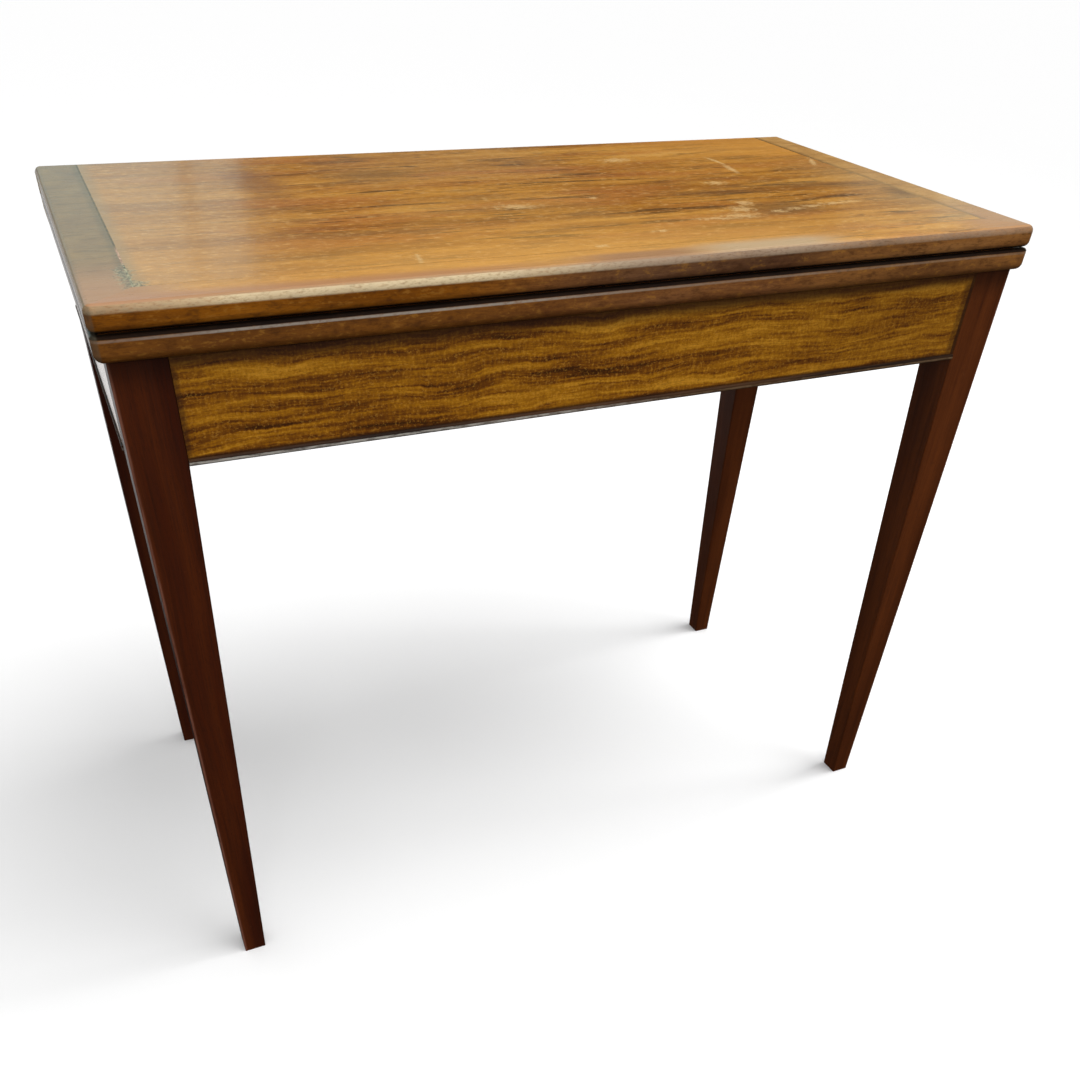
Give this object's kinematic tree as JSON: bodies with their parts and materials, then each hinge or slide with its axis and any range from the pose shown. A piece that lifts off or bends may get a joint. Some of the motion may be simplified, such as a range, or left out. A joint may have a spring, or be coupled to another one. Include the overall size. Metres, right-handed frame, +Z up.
{
  "type": "fold-over table",
  "caption": "Folding tea table: a hinged leaf lies flat on a fixed leaf, and opens onto a swinging gate leg; square tapered legs, veneered frieze.",
  "frame": {"origin": "on the floor, under the middle of the folded table's box", "axes": "+X along the table's length to the right, +Y towards the hinged back edge, +Z up"},
  "size_m": [0.9, 0.455, 0.735],
  "materials": {
    "leaf_wood": "polished mahogany",
    "field_veneer": "polished golden mahogany, grain along the table",
    "band_veneer": "polished crossbanded mahogany",
    "string_veneer": "thin dark line inlay",
    "frieze_veneer": "polished figured mahogany",
    "bead_wood": "dark polished bead",
    "leg_wood": "polished dark red mahogany",
    "gate_wood": "plain hardwood, unpolished",
    "carcase_wood": "plain softwood, unpolished",
    "hinge_brass": "aged brass",
    "pin_iron": "dark iron rod",
    "steel": "steel wood screws"
  },
  "bodies": {
    "frame": {"lower_leaf": "leaf_wood", "front_leg_left": "leg_wood", "front_leg_right": "leg_wood", "rear_leg_right": "leg_wood", "front_rail": "carcase_wood", "side_rail_left": "carcase_wood", "side_rail_right": "carcase_wood", "inner_back_rail": "carcase_wood", "fixed_back_rail": "gate_wood", "leaf_screws": "steel", "back_rail_screws": "steel", "hinge_lower_left": "hinge_brass", "hinge_lower_right": "hinge_brass", "hinge_pins": "hinge_brass", "hinge_screws_lower": "hinge_brass", "frieze_front": "frieze_veneer", "frieze_left": "frieze_veneer", "frieze_right": "frieze_veneer", "bead_front": "bead_wood", "bead_left": "bead_wood", "bead_right": "bead_wood", "glue_blocks_front": "carcase_wood", "glue_blocks_back": "carcase_wood", "glue_blocks_side": "carcase_wood", "knuckle_pin": "pin_iron"},
    "top_leaf": {"upper_leaf": "leaf_wood", "field_veneer": "field_veneer", "crossband_left": "band_veneer", "crossband_right": "band_veneer", "crossband_front": "band_veneer", "stringing": "string_veneer", "hinge_upper_left": "hinge_brass", "hinge_upper_right": "hinge_brass", "hinge_screws_upper": "hinge_brass", "leaf_tongues": "leaf_wood"},
    "gate": {"fly_rail": "gate_wood", "swing_leg": "leg_wood"}
  },
  "joints": [
    {"name": "leaf_fold", "type": "hinge", "parent": "frame", "child": "top_leaf", "pos_m": [0, 0.2229, 0.7142], "axis": [-1, 0, 0], "range_deg": [0, 180]},
    {"name": "gate_swing", "type": "hinge", "parent": "frame", "child": "gate", "pos_m": [0, 0.2085, 0.605], "axis": [0, 0, -1], "range_deg": [0, 90]}
  ]
}
